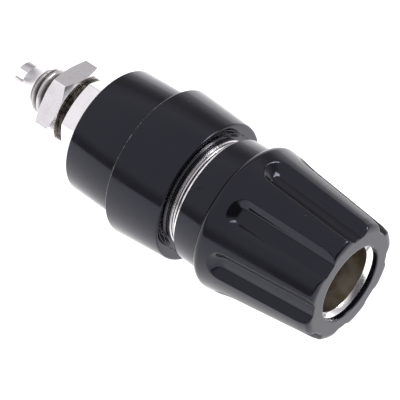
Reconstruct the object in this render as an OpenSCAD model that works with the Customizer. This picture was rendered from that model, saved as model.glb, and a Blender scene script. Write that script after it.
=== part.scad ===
// Insulated binding post for a 4 mm plug, clamped in a panel by two bushes and a hex nut.
// The axis lies along X with the knob towards +X, and +Z is up.
// The origin is on the axis in the panel seat, the rear face of the front bush.

/* [Knob] */
// Largest diameter of the fluted grip
grip_d = 15; // [14.4:0.1:17]
// Length of the fluted grip, from its rear face to the front face
grip_len = 12.9; // [12:0.1:16]
// Narrowing of the grip towards the front, in degrees on each side
grip_draft = 6.6; // [4:0.2:7]
// Radius that rounds the rear shoulder of the grip
shoulder_r = 0.85; // [0.5:0.05:1.2]
// Radius that rounds the front edge of the grip
front_edge_r = 0.6; // [0.4:0.05:0.9]
// Diameter of the smooth skirt behind the grip
skirt_d = 13.05; // [12.9:0.05:13.6]
// Length of the skirt
skirt_len = 2.85; // [2:0.05:4]

/* [Flutes] */
// Number of flutes round the grip
flute_count = 8; // [6:1:9]
// Width of a flute at the grip's surface
flute_w = 3.1; // [2.6:0.1:3.4]
// Width of a flute's flat floor
flute_floor_w = 1.6; // [1.2:0.1:2]
// Depth of a flute below the grip's surface
flute_depth = 0.95; // [0.6:0.05:1.1]
// Distance from the grip's rear face to the flutes' rear ends
flute_start = 2; // [1.5:0.1:3]
// Angle of the first flute, from +Y towards +Z
flute_angle = 36.2; // [0:0.2:45]

/* [Knob insert] */
// Diameter of the smooth front bore, which takes a plug's sleeve
sleeve_bore_d = 7; // [6.8:0.1:7.4]
// Wall of the insert's front ring
ring_wall = 0.42; // [0.35:0.01:0.6]
// Depth of the chamfer at the mouth of the front bore
mouth_chamfer = 0.55; // [0.3:0.05:0.8]
// How far the ring lies below the knob's front face
ring_recess = 0.4; // [0.2:0.05:0.8]
// Wall of the insert's body inside the grip
insert_wall = 1.4; // [1.2:0.05:1.7]
// Length of the threaded stretch of the insert
insert_thread_len = 4.8; // [4:0.1:6]
// Length of the clearance bore behind the insert's thread
insert_lead_len = 2.2; // [1.5:0.1:3]

/* [Clamp] */
// Diameter of the stud's clamp flange
flange_d = 11.4; // [10.8:0.1:12]
// Thickness of the clamp flange
flange_t = 0.67; // [0.5:0.01:1]
// Diameter of the clamp washer that travels with the knob
clamp_washer_d = 12.4; // [12:0.1:12.8]
// Thickness of the clamp washer
clamp_washer_t = 0.3; // [0.25:0.01:0.5]
// Gap between the flange and the clamp washer at rest
clamp_gap = 0.35; // [0.3:0.01:1]
// How far the knob opens from rest
knob_travel = 4; // [3.6:0.1:4.2]
// Diameter of the wire hole through the stud
wire_hole_d = 3; // [2.5:0.1:3.2]

/* [Stud] */
// Diameter of the front shank
shank_d = 6.4; // [6.3:0.1:6.6]
// Diameter of the plug socket
socket_d = 4; // [3.9:0.1:4.2]
// Depth of the plug socket from the stud's front end
socket_depth = 16; // [12:0.5:16.5]
// Crest diameter of the rear thread
rear_thread_d = 4.9; // [4.4:0.1:5.2]
// Pitch of the rear thread
rear_pitch = 0.8; // [0.5:0.1:1]
// Thread length left behind the terminal nut
thread_spare = 2.8; // [2.7:0.1:5]
// Length of the cone between the thread and the solder tail
tail_cone_len = 1.7; // [1:0.1:2.5]
// Diameter of the solder tail
tail_d = 3; // [2.4:0.1:3.6]
// Length of the solder tail
tail_len = 1.2; // [1:0.1:3]
// Width of the slot in the solder tail
tail_slot_w = 0.8; // [0.5:0.05:1]
// Angle of the slot's plane, from +Y towards +Z
tail_slot_angle = 129; // [0:1:180]

/* [Bushes] */
// Diameter of the front bush at the panel
front_bush_d = 15.6; // [15.2:0.1:18]
// Length of the front bush
front_bush_len = 6.15; // [5.6:0.05:8]
// Narrowing of the front bush towards the knob, in degrees on each side
front_bush_draft = 4.6; // [2:0.2:5]
// Diameter of the rear bush at the panel
rear_bush_d = 13.45; // [13:0.05:14.4]
// Length of the rear bush
rear_bush_len = 6.2; // [6:0.1:8]
// Narrowing of the rear bush towards the nuts, in degrees on each side
rear_bush_draft = 1.1; // [0:0.1:2]
// Diameter of the spigot that fills the panel hole
spigot_d = 9; // [8.6:0.1:9.6]
// Length of the spigot
spigot_len = 4.6; // [3:0.1:4.8]

/* [Nuts and washers] */
// Width across flats of both nuts
nut_af = 8; // [7.6:0.1:9]
// Thickness of each nut
nut_t = 2.2; // [1.8:0.1:3]
// Angle of a corner of the mounting nut, from +Y towards +Z
mounting_nut_angle = 31.6; // [0:0.2:60]
// Angle of a corner of the terminal nut, from +Y towards +Z
terminal_nut_angle = 51.5; // [0:0.2:60]
// Diameter of the plain washer
washer_d = 9.8; // [9:0.1:10.5]
// Thickness of the plain washer
washer_t = 0.8; // [0.5:0.1:1.2]
// Diameter of the lock washer
lock_washer_d = 7; // [6.8:0.1:7.6]
// Thickness of the lock washer
lock_washer_t = 1; // [0.8:0.1:1.2]

/* [Hidden] */
$fn = 96;

// Radial clearance of a running fit on the stud
run_gap = 0.06;
// Radial clearance round the spigot and the stud where they only pass through
pass_gap = 0.15;
// Overshoot of a cutting body past the face that it cuts
over = 1;
// Small edge breaks on metal and on plastic
metal_edge = 0.15;
plastic_edge = 0.25;
// Straight steps that make up a rounded edge
arc_steps = 5;

// Stations along X, from the panel seat towards the knob
flange_x = front_bush_len;
flange_front_x = flange_x + flange_t;
clamp_washer_x = flange_front_x + clamp_gap;
skirt_x = clamp_washer_x + clamp_washer_t;
grip_x = skirt_x + skirt_len;
face_x = grip_x + grip_len;
ring_x = face_x - ring_recess;
insert_thread_x = clamp_washer_x + insert_lead_len;
sleeve_bore_x = insert_thread_x + insert_thread_len;
// The stop ring catches the shoulder of the sleeve bore when the knob has opened by knob_travel.
stop_ring_t = 0.8;
stop_gap = 0.1;
stop_ring_x = sleeve_bore_x + knob_travel + stop_gap;
stud_front_x = stop_ring_x + stop_ring_t;
wire_hole_lip = 0.2;
wire_hole_x = flange_front_x + wire_hole_lip + wire_hole_d / 2;

// Stations along X, from the panel seat towards the solder tail
washer_x = -rear_bush_len - washer_t;
mounting_nut_x = washer_x - nut_t;
lock_washer_x = mounting_nut_x - lock_washer_t;
terminal_nut_x = lock_washer_x - nut_t;
thread_end_x = terminal_nut_x - thread_spare;
tail_x = thread_end_x - tail_cone_len;
tail_end_x = tail_x - tail_len;

// Insert
hub_wall = 0.7;
hub_r = sleeve_bore_d / 2 + hub_wall;
insert_r = sleeve_bore_d / 2 + insert_wall;
ring_r = sleeve_bore_d / 2 + ring_wall;
ring_neck_len = 2.3;
// Groove in the insert's body that the moulded grip fills
key_groove_d = 0.4;
key_groove_w = 2;

// Stud inside the front bush
boss_af = 8;
boss_len = 3;
boss_fit = 0.05;
body_d = 7;
body_end_x = 1.2;
socket_tip = 0.8;
socket_tip_r = 0.2;
tail_slot_len = tail_len - 0.1;
neck_r = 2.9;
thread_depth = 0.36;
// Half the width of a thread's crest, as a share of the pitch
thread_crest = 0.15;
turned_groove = 0.12;

// Angle below its widest place at which the grip's rounded shoulder starts
shoulder_angle = 50;

// Key on the spigot and its way through the rear bush
key_w = 1.2;
key_h = 0.6;
key_len = 1.6;
spigot_end_gap = 0.4;
spigot_bore_len = spigot_len + spigot_end_gap;

// Recess in the front bush's face
face_rim = 0.95;
face_recess = 0.12;

// Draws its children with their Z axis along X, starting at x.
module along_x(x) {
    translate([x, 0, 0]) rotate([0, 90, 0]) children();
}

// Turned solid whose outline is a list of [radius, x] points.
module turned(points) {
    along_x(0) rotate_extrude() polygon(points);
}

// Bore of diameter d from x0 to x1.
module bore(d, x0, x1) {
    along_x(x0) cylinder(d = d, h = x1 - x0);
}

// Plain ring between two stations.
module ring(x, t, od, id) {
    turned([[id / 2, x], [od / 2 - metal_edge, x], [od / 2, x + metal_edge],
            [od / 2, x + t - metal_edge], [od / 2 - metal_edge, x + t], [id / 2, x + t]]);
}

// Points of an arc about [r, x], in an outline of [radius, x] points.
function arc(r, x, radius, from, to, steps) =
    [for (i = [0:steps]) let (a = from + (to - from) * i / steps)
        [r + radius * cos(a), x + radius * sin(a)]];

// Crests and roots of a thread of annular ridges from x0 to x1.
function ridges(x0, x1, crest_r, depth, pitch) =
    [for (i = [0:floor((x1 - x0) / pitch) - 1]) each
        [[crest_r, x0 + pitch * (i + thread_crest)], [crest_r - depth, x0 + pitch * (i + 1 / 2)],
         [crest_r, x0 + pitch * (i + 1 - thread_crest)]]];

module stud_body() {
    thread_r = rear_thread_d / 2;
    groove_x = flange_x + flange_t / 2;
    turned(concat(
        [[0, tail_end_x], [tail_d / 2 - metal_edge, tail_end_x], [tail_d / 2, tail_end_x + metal_edge],
         [tail_d / 2, tail_x], [thread_r - thread_depth, thread_end_x]],
        ridges(thread_end_x, -rear_bush_len, thread_r, thread_depth, rear_pitch),
        [[thread_r, -rear_bush_len], [thread_r, body_end_x],
         [body_d / 2, body_end_x], [body_d / 2, flange_x],
         [flange_d / 2, flange_x], [flange_d / 2, groove_x - turned_groove],
         [flange_d / 2 - turned_groove, groove_x], [flange_d / 2, groove_x + turned_groove],
         [flange_d / 2, flange_front_x - metal_edge], [flange_d / 2 - metal_edge, flange_front_x],
         [shank_d / 2, flange_front_x], [shank_d / 2, stop_ring_x],
         [neck_r, stop_ring_x], [neck_r, stud_front_x], [0, stud_front_x]]));
    along_x(flange_x - boss_len) cylinder(d = boss_af / cos(30), h = boss_len, $fn = 6);
}

module stud() {
    socket_end_x = stud_front_x - socket_depth;
    color("silver") difference() {
        stud_body();
        bore(socket_d, socket_end_x, stud_front_x + over);
        along_x(socket_end_x - socket_tip) cylinder(r1 = socket_tip_r, r2 = socket_d / 2, h = socket_tip);
        along_x(stud_front_x - socket_tip / 2)
            cylinder(r1 = socket_d / 2, r2 = socket_d / 2 + socket_tip / 2, h = socket_tip / 2);
        translate([wire_hole_x, 0, -shank_d]) cylinder(d = wire_hole_d, h = 2 * shank_d);
        rotate([tail_slot_angle, 0, 0]) translate([tail_end_x - over, -tail_d, -tail_slot_w / 2])
            cube([tail_slot_len + over, 2 * tail_d, tail_slot_w]);
    }
}

module stop_ring() {
    color("silver") ring(stop_ring_x, stop_ring_t, sleeve_bore_d - 2 * run_gap, 2 * neck_r);
}

module front_bush() {
    r_rear = front_bush_d / 2;
    r_front = r_rear - front_bush_len * tan(front_bush_draft);
    recess_r = r_front - face_rim;
    color("#25262b") difference() {
        union() {
            turned([[0, 0], [r_rear - plastic_edge, 0], [r_rear, plastic_edge],
                    [r_front, front_bush_len - plastic_edge], [r_front - plastic_edge, front_bush_len],
                    [recess_r, front_bush_len], [recess_r - face_recess, front_bush_len - face_recess],
                    [flange_d / 2 + face_recess, front_bush_len - face_recess],
                    [flange_d / 2, front_bush_len], [0, front_bush_len]]);
            bore(spigot_d, -spigot_len, over);
            translate([-key_len, 0, 0]) linear_extrude(spigot_d / 2 + key_h)
                translate([0, -key_w / 2]) square([key_len + over, key_w]);
        }
        bore(rear_thread_d + 2 * pass_gap, -spigot_len - over, front_bush_len);
        bore(body_d + 2 * boss_fit, body_end_x, front_bush_len + over);
        along_x(flange_x - boss_len)
            cylinder(d = (boss_af + 2 * boss_fit) / cos(30), h = boss_len + over, $fn = 6);
    }
}

module rear_bush() {
    r_front = rear_bush_d / 2;
    r_rear = r_front - rear_bush_len * tan(rear_bush_draft);
    key_way = key_w + 2 * pass_gap;
    color("#25262b") difference() {
        turned([[0, -rear_bush_len], [r_rear - plastic_edge, -rear_bush_len],
                [r_rear, -rear_bush_len + plastic_edge], [r_front, 0], [0, 0]]);
        bore(spigot_d + 2 * pass_gap, -spigot_bore_len, over);
        bore(rear_thread_d + 2 * pass_gap, -rear_bush_len - over, 0);
        translate([-key_len - pass_gap, -key_way / 2, 0])
            cube([key_len + pass_gap + over, key_way, spigot_d / 2 + key_h + pass_gap]);
    }
}

// Hexagon nut with both faces chamfered at 30 degrees and a corner at the given angle.
module hex_nut(x, angle) {
    corner_r = nut_af / 2 / cos(30);
    face_r = nut_af / 2 - metal_edge / 2;
    fall = (corner_r - face_r) * tan(30);
    bore_r = rear_thread_d / 2 + run_gap;
    difference() {
        intersection() {
            rotate([angle, 0, 0]) along_x(x) rotate([0, 0, 30]) cylinder(r = corner_r, h = nut_t, $fn = 6);
            turned([[0, x], [face_r, x], [corner_r, x + fall], [corner_r, x + nut_t - fall],
                    [face_r, x + nut_t], [0, x + nut_t]]);
        }
        bore(2 * bore_r, x - over, x + nut_t + over);
        turned([[0, x - metal_edge], [bore_r + 2 * metal_edge, x - metal_edge], [bore_r, x + metal_edge],
                [0, x + metal_edge]]);
    }
}

module mounting_nut() {
    color("gainsboro") hex_nut(mounting_nut_x, mounting_nut_angle);
}

module terminal_nut() {
    color("gainsboro") hex_nut(terminal_nut_x, terminal_nut_angle);
}

module plain_washer() {
    color("silver") ring(washer_x, washer_t, washer_d, rear_thread_d + 2 * pass_gap);
}

module lock_washer() {
    gap_w = 0.5;
    color("dimgray") difference() {
        ring(lock_washer_x, lock_washer_t, lock_washer_d, rear_thread_d + 2 * run_gap);
        translate([lock_washer_x - over, -gap_w / 2, -lock_washer_d])
            cube([lock_washer_t + 2 * over, gap_w, lock_washer_d]);
    }
}

module clamp_washer() {
    color("silver") ring(clamp_washer_x, clamp_washer_t, clamp_washer_d, 2 * (hub_r + run_gap));
}

// Outline of the insert from its hub at the rear to its ring at the front.
module insert_outline() {
    neck_x = ring_x - ring_neck_len;
    mid_x = (skirt_x + neck_x) / 2;
    turned([[0, clamp_washer_x], [hub_r, clamp_washer_x], [hub_r, skirt_x], [insert_r, skirt_x],
            [insert_r, mid_x - key_groove_w / 2],
            [insert_r - key_groove_d, mid_x - key_groove_w / 2 + key_groove_d],
            [insert_r - key_groove_d, mid_x + key_groove_w / 2 - key_groove_d],
            [insert_r, mid_x + key_groove_w / 2], [insert_r, neck_x], [ring_r, neck_x],
            [ring_r, ring_x], [0, ring_x]]);
}

module knob_insert() {
    color("gainsboro") difference() {
        insert_outline();
        bore(sleeve_bore_d, clamp_washer_x - over, insert_thread_x);
        bore(shank_d + 2 * run_gap, clamp_washer_x, ring_x);
        bore(sleeve_bore_d, sleeve_bore_x, ring_x + over);
        along_x(ring_x - mouth_chamfer)
            cylinder(r1 = sleeve_bore_d / 2, r2 = ring_r, h = mouth_chamfer);
    }
}

// One flute: a channel with sloping walls and a sloping rear end, open at the front.
module flute() {
    rim = (flute_w - flute_floor_w) / 2;
    crest_x = grip_x + shoulder_r;
    start_x = grip_x + flute_start;
    translate([crest_x, grip_d / 2, 0]) rotate([0, 0, -grip_draft])
        intersection() {
            rotate([90, 0, 90]) linear_extrude(grip_len)
                polygon([[-flute_depth, -flute_floor_w / 2], [flute_depth, -flute_w / 2 - rim],
                         [flute_depth, flute_w / 2 + rim], [-flute_depth, flute_floor_w / 2]]);
            translate([start_x - crest_x, 0, -flute_w]) linear_extrude(2 * flute_w)
                polygon([[rim, -flute_depth], [-rim, flute_depth], [grip_len, flute_depth],
                         [grip_len, -flute_depth]]);
        }
}

module knob_shell() {
    crest_x = grip_x + shoulder_r;
    front_r = grip_d / 2 - (face_x - front_edge_r - crest_x) * tan(grip_draft);
    color("#25262b") difference() {
        turned(concat(
            [[0, skirt_x], [skirt_d / 2 - plastic_edge, skirt_x], [skirt_d / 2, skirt_x + plastic_edge],
             [skirt_d / 2, grip_x]],
            arc(grip_d / 2 - shoulder_r, crest_x, shoulder_r, -shoulder_angle, 0, arc_steps),
            arc(front_r - front_edge_r, face_x - front_edge_r, front_edge_r, 0, 90, arc_steps),
            [[0, face_x]]));
        insert_outline();
        bore(2 * ring_r, ring_x - over, face_x + over);
        for (i = [0:flute_count - 1])
            rotate([flute_angle + i * 360 / flute_count, 0, 0]) flute();
    }
}

stud();
front_bush();
rear_bush();
plain_washer();
mounting_nut();
lock_washer();
terminal_nut();
stop_ring();
clamp_washer();
knob_insert();
knob_shell();
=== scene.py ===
"""Looks of an insulated binding post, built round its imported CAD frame.

The post's axis lies along X with the knob towards +X. Sizes are in millimetres here and
become metres when a mesh is made. Angles round the axis count from +Y towards +Z.
"""
import logging
import math
from dataclasses import dataclass, field
from enum import Enum
from typing import Sequence

import bpy
import numpy as np
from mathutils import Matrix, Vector


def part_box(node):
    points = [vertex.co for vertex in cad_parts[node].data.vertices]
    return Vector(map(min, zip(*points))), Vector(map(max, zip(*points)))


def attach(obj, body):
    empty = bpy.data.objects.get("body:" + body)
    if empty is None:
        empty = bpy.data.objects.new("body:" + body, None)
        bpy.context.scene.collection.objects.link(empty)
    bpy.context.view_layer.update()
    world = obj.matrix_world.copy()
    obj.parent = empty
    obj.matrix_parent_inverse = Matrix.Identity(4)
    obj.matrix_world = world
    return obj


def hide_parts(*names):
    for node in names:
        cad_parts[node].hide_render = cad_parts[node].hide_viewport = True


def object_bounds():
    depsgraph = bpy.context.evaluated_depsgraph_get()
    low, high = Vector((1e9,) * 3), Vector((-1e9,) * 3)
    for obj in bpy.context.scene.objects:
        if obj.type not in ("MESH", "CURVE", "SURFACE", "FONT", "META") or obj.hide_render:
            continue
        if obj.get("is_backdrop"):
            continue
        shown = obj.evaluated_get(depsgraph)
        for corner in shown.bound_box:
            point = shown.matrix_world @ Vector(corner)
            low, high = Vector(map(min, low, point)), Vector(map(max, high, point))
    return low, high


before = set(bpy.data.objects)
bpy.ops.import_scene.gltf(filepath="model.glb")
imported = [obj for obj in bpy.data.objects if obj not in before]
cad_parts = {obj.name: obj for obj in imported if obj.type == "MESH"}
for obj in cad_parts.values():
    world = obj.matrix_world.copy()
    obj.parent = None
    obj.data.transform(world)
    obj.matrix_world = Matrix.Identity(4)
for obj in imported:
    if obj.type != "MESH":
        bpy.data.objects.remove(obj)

MM = 0.001
log = logging.getLogger("binding_post")
Corner = tuple[float, float, float]


class Slot(Enum):
    """The record's material slots."""

    NICKEL = "nickel"
    STEEL = "spring_steel"
    PLASTIC = "black_plastic"


@dataclass(frozen=True)
class Span:
    """Where a CAD node lies: its ends along the axis and its reach from it, in mm."""

    x0: float
    x1: float
    r: float

    @classmethod
    def of(cls, node: str) -> "Span":
        """The span of a CAD node, read from its box."""
        low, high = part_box(node)
        return cls(low.x / MM, high.x / MM, max(high.y, high.z) / MM)


# ---------------------------------------------------------------- surfaces


def fillet(corners: Sequence[Corner], closed: bool = True, steps: int = 5) -> np.ndarray:
    """Rounds the corners of an outline.

    Each corner's arc touches both of its sides at radius / tan(half the angle between them),
    and its points are the slerp of the two rim vectors seen from the arc's centre.

    Args:
        corners: (x, r, radius) of each corner, in mm.
        closed: whether the last corner joins the first.
        steps: segments in each arc.

    Returns:
        Points (n, 2) of x and r.
    """
    spots = np.array([c[:2] for c in corners], float)
    out = []
    for i, (x, r, radius) in enumerate(corners):
        end = not closed and i in (0, len(corners) - 1)
        if radius <= 0 or end:
            out.append([[x, r]])
            continue
        before = spots[i - 1] - spots[i]
        after = spots[(i + 1) % len(spots)] - spots[i]
        before, after = before / np.linalg.norm(before), after / np.linalg.norm(after)
        half = math.acos(float(np.clip(before @ after, -1, 1))) / 2
        middle = (before + after) / np.linalg.norm(before + after)
        centre = spots[i] + middle * radius / math.sin(half)
        start = spots[i] + before * radius / math.tan(half) - centre
        stop = spots[i] + after * radius / math.tan(half) - centre
        turn = math.pi - 2 * half
        t = np.linspace(0, 1, steps + 1)[:, None]
        out.append(centre + (np.sin((1 - t) * turn) * start + np.sin(t * turn) * stop)
                   / math.sin(turn))
    return np.concatenate(out)


def soft_max(a: np.ndarray, b: float, width: float) -> np.ndarray:
    """The larger of a and b, blended by a parabola where they differ by less than width."""
    h = np.maximum(width - np.abs(a - b), 0) / width
    return np.maximum(a, b) + h * h * width / 4


def soft_min(a: np.ndarray, b: float | np.ndarray, width: float | np.ndarray) -> np.ndarray:
    """The smaller of a and b, blended by a parabola where they differ by less than width."""
    h = np.maximum(width - np.abs(a - b), 0) / width
    return np.minimum(a, b) - h * h * width / 4


def ring_points(x: np.ndarray, r: np.ndarray, angle: np.ndarray) -> np.ndarray:
    """Points at x along the axis, r from it and angle round it: (x, r cos angle, r sin angle)."""
    x, r, angle = np.broadcast_arrays(x, r, angle)
    return np.stack([x, r * np.cos(angle), r * np.sin(angle)], -1)


def turned(profile: np.ndarray, columns: int) -> np.ndarray:
    """Grid of an outline turned about the axis: every point swept through columns equal steps."""
    angle = np.linspace(0, 2 * np.pi, columns, endpoint=False)
    return ring_points(profile[:, :1], profile[:, 1:], angle[None, :])


def mesh_of(name: str, grid: np.ndarray, loop: bool, crease: float = 32) -> bpy.types.Object:
    """Makes a closed mesh of a grid of points.

    Neighbouring points make quads, the columns join all the way round, and the rows join
    end to end or close in a fan at each pole. The faces are turned over if the volume, the
    sum of a . (b x c) / 6 over the triangles, comes out negative.

    Args:
        name: the object's name.
        grid: (rows, columns, 3) points in mm.
        loop: whether the last row joins the first. If not, the first and last rows lie
            on the axis, and each becomes one point.
        crease: angle in degrees from which an edge stays sharp.

    Returns:
        The object, linked to the scene, in metres.
    """
    columns = grid.shape[1]
    body = grid if loop else grid[1:-1]
    points = body.reshape(-1, 3)
    count = len(body)
    i = np.arange(count if loop else count - 1)[:, None]
    j = np.arange(columns)[None, :]
    right = (j + 1) % columns
    up = (i + 1) % count
    quads = np.stack([i * columns + j, i * columns + right,
                      up * columns + right, up * columns + j], -1).reshape(-1, 4)
    fans = np.zeros((0, 3), int)
    if not loop:
        last = (count - 1) * columns
        tip, base = len(points), len(points) + 1
        points = np.concatenate([points, grid[0, :1], grid[-1, :1]])
        k = j[0]
        fans = np.concatenate([
            np.stack([np.full(columns, tip), right[0], k], -1),
            np.stack([np.full(columns, base), last + k, last + right[0]], -1)])
    triangles = np.concatenate([quads[:, [0, 1, 2]], quads[:, [0, 2, 3]], fans])
    a, b, c = (points[triangles[:, n]] for n in range(3))
    if np.einsum("ij,ij->i", a, np.cross(b, c)).sum() < 0:
        quads, fans = quads[:, ::-1], fans[:, ::-1]
    mesh = bpy.data.meshes.new(name)
    mesh.from_pydata((points * MM).tolist(), [], quads.tolist() + fans.tolist())
    mesh.validate()
    mesh.shade_smooth()
    mesh.set_sharp_from_angle(angle=math.radians(crease))
    piece = bpy.data.objects.new(name, mesh)
    bpy.context.scene.collection.objects.link(piece)
    return piece


def box_mesh(name: str, low: Sequence[float], high: Sequence[float],
             tilt: float = 0) -> bpy.types.Object:
    """A block between two corners, turned about the axis.

    Args:
        name: the object's name.
        low: the lowest corner, in mm.
        high: the highest corner, in mm.
        tilt: the turn in radians.

    Returns:
        The object, linked to the scene, in metres.
    """
    corner = np.array([[(low, high)[(n >> k) & 1][k] for k in range(3)] for n in range(8)], float)
    y, z = corner[:, 1].copy(), corner[:, 2].copy()
    corner[:, 1] = y * math.cos(tilt) - z * math.sin(tilt)
    corner[:, 2] = y * math.sin(tilt) + z * math.cos(tilt)
    faces = [(0, 2, 3, 1), (4, 5, 7, 6), (0, 1, 5, 4), (2, 6, 7, 3), (0, 4, 6, 2), (1, 3, 7, 5)]
    mesh = bpy.data.meshes.new(name)
    mesh.from_pydata((corner * MM).tolist(), [], faces)
    piece = bpy.data.objects.new(name, mesh)
    bpy.context.scene.collection.objects.link(piece)
    return piece


def carve(piece: bpy.types.Object, cutter: bpy.types.Object, crease: float = 32) -> None:
    """Takes the cutter out of the piece for good, and removes the cutter.

    Args:
        piece: the object that is cut.
        cutter: the closed object that is taken away.
        crease: angle in degrees from which an edge stays sharp.
    """
    cut = piece.modifiers.new("cut", "BOOLEAN")
    cut.operation, cut.solver, cut.object = "DIFFERENCE", "EXACT", cutter
    bpy.context.view_layer.update()
    shape = piece.evaluated_get(bpy.context.evaluated_depsgraph_get())
    mesh = bpy.data.meshes.new_from_object(shape)
    piece.modifiers.clear()
    piece.data = mesh
    mesh.shade_smooth()
    mesh.set_sharp_from_angle(angle=math.radians(crease))
    bpy.data.objects.remove(cutter)


# ---------------------------------------------------------------- shader graphs


class Graph:
    """A node tree with short calls to add nodes and join them."""

    def __init__(self, tree: bpy.types.NodeTree) -> None:
        """Takes the tree to add to."""
        self.tree = tree

    def add(self, kind: str, **settings: object) -> bpy.types.Node:
        """Adds a node.

        Args:
            kind: the node's type after "ShaderNode".
            **settings: properties to set on it.

        Returns:
            The node.
        """
        node = self.tree.nodes.new("ShaderNode" + kind)
        for key, value in settings.items():
            setattr(node, key, value)
        return node

    def put(self, socket: bpy.types.NodeSocket, value: object) -> None:
        """Joins another socket to this one, or writes a plain value into it.

        Args:
            socket: the input socket.
            value: an output socket or a plain value.
        """
        if isinstance(value, bpy.types.NodeSocket):
            self.tree.links.new(value, socket)
        else:
            socket.default_value = value

    def math(self, operation: str, a: object, b: object = 0.0,
             clamp: bool = False) -> bpy.types.NodeSocket:
        """Adds a Math node.

        Args:
            operation: the node's operation.
            a: its first value or socket.
            b: its second value or socket.
            clamp: whether the result is kept from 0 to 1.

        Returns:
            The result's socket.
        """
        node = self.add("Math", operation=operation, use_clamp=clamp)
        self.put(node.inputs[0], a)
        self.put(node.inputs[1], b)
        return node.outputs[0]

    def mix(self, share: object, a: object, b: object) -> bpy.types.NodeSocket:
        """Mixes two colours.

        Args:
            share: 0 for a and 1 for b.
            a: the first colour or socket.
            b: the second colour or socket.

        Returns:
            The mixed colour's socket.
        """
        node = self.add("Mix", data_type="RGBA")
        self.put(node.inputs["Factor"], share)
        self.put(node.inputs[6], a)
        self.put(node.inputs[7], b)
        return node.outputs[2]

    def span(self, value: object, low: object, high: object, out_low: float,
             out_high: float) -> bpy.types.NodeSocket:
        """Carries a value from one range to another, and keeps it inside.

        Args:
            value: the value or socket.
            low: what becomes out_low.
            high: what becomes out_high.
            out_low: the result's first end.
            out_high: the result's other end.

        Returns:
            The result's socket.
        """
        node = self.add("MapRange")
        for socket, given in zip(node.inputs, (value, low, high, out_low, out_high)):
            self.put(socket, given)
        return node.outputs[0]

    def ramp(self, value: object, stops: Sequence[tuple[float, float]]) -> bpy.types.NodeSocket:
        """Reads a grey level from a row of stops.

        Args:
            value: the position, from 0 to 1.
            stops: (position, level) pairs in order, at least two.

        Returns:
            The level's socket.
        """
        node = self.add("ValToRGB")
        marks = node.color_ramp.elements
        for position, level in stops[2:]:
            marks.new(position)
        for mark, (position, level) in zip(marks, stops):
            mark.position, mark.color = position, (level, level, level, 1)
        self.put(node.inputs[0], value)
        return node.outputs[0]

    def noise(self, vector: object, scale: object, detail: float = 3,
              rough: float = 0.55) -> bpy.types.NodeSocket:
        """Adds a Noise Texture.

        Args:
            vector: where it is read.
            scale: waves per mm.
            detail: how many octaves it adds.
            rough: how strong the finer octaves are.

        Returns:
            The noise's socket, about 0.5 on average.
        """
        node = self.add("TexNoise")
        self.put(node.inputs["Vector"], vector)
        self.put(node.inputs["Scale"], scale)
        self.put(node.inputs["Detail"], detail)
        self.put(node.inputs["Roughness"], rough)
        return node.outputs[0]

    def effect(self, group: bpy.types.NodeTree, **values: object) -> bpy.types.Node:
        """Places a shared effect.

        Args:
            group: the effect's node group.
            **values: values or sockets for its inputs.

        Returns:
            The group's node.
        """
        node = self.add("Group", node_tree=group)
        for key, value in values.items():
            self.put(node.inputs[key], value)
        return node


def new_group(name: str, inputs: dict[str, float | None], outputs: Sequence[str]) -> Graph:
    """A node group with a Vector input, further value inputs and value outputs.

    Args:
        name: the group's name.
        inputs: the value inputs and their defaults; None makes a vector.
        outputs: the names of the value outputs.

    Returns:
        The group's graph, with its input and output nodes in place.
    """
    tree = bpy.data.node_groups.new(name, "ShaderNodeTree")
    for key, default in inputs.items():
        kind = "NodeSocketVector" if default is None else "NodeSocketFloat"
        socket = tree.interface.new_socket(key, in_out="INPUT", socket_type=kind)
        if default is not None:
            socket.default_value = default
    for key in outputs:
        tree.interface.new_socket(key, in_out="OUTPUT", socket_type="NodeSocketFloat")
    graph = Graph(tree)
    tree.nodes.new("NodeGroupInput")
    tree.nodes.new("NodeGroupOutput")
    return graph


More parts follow.
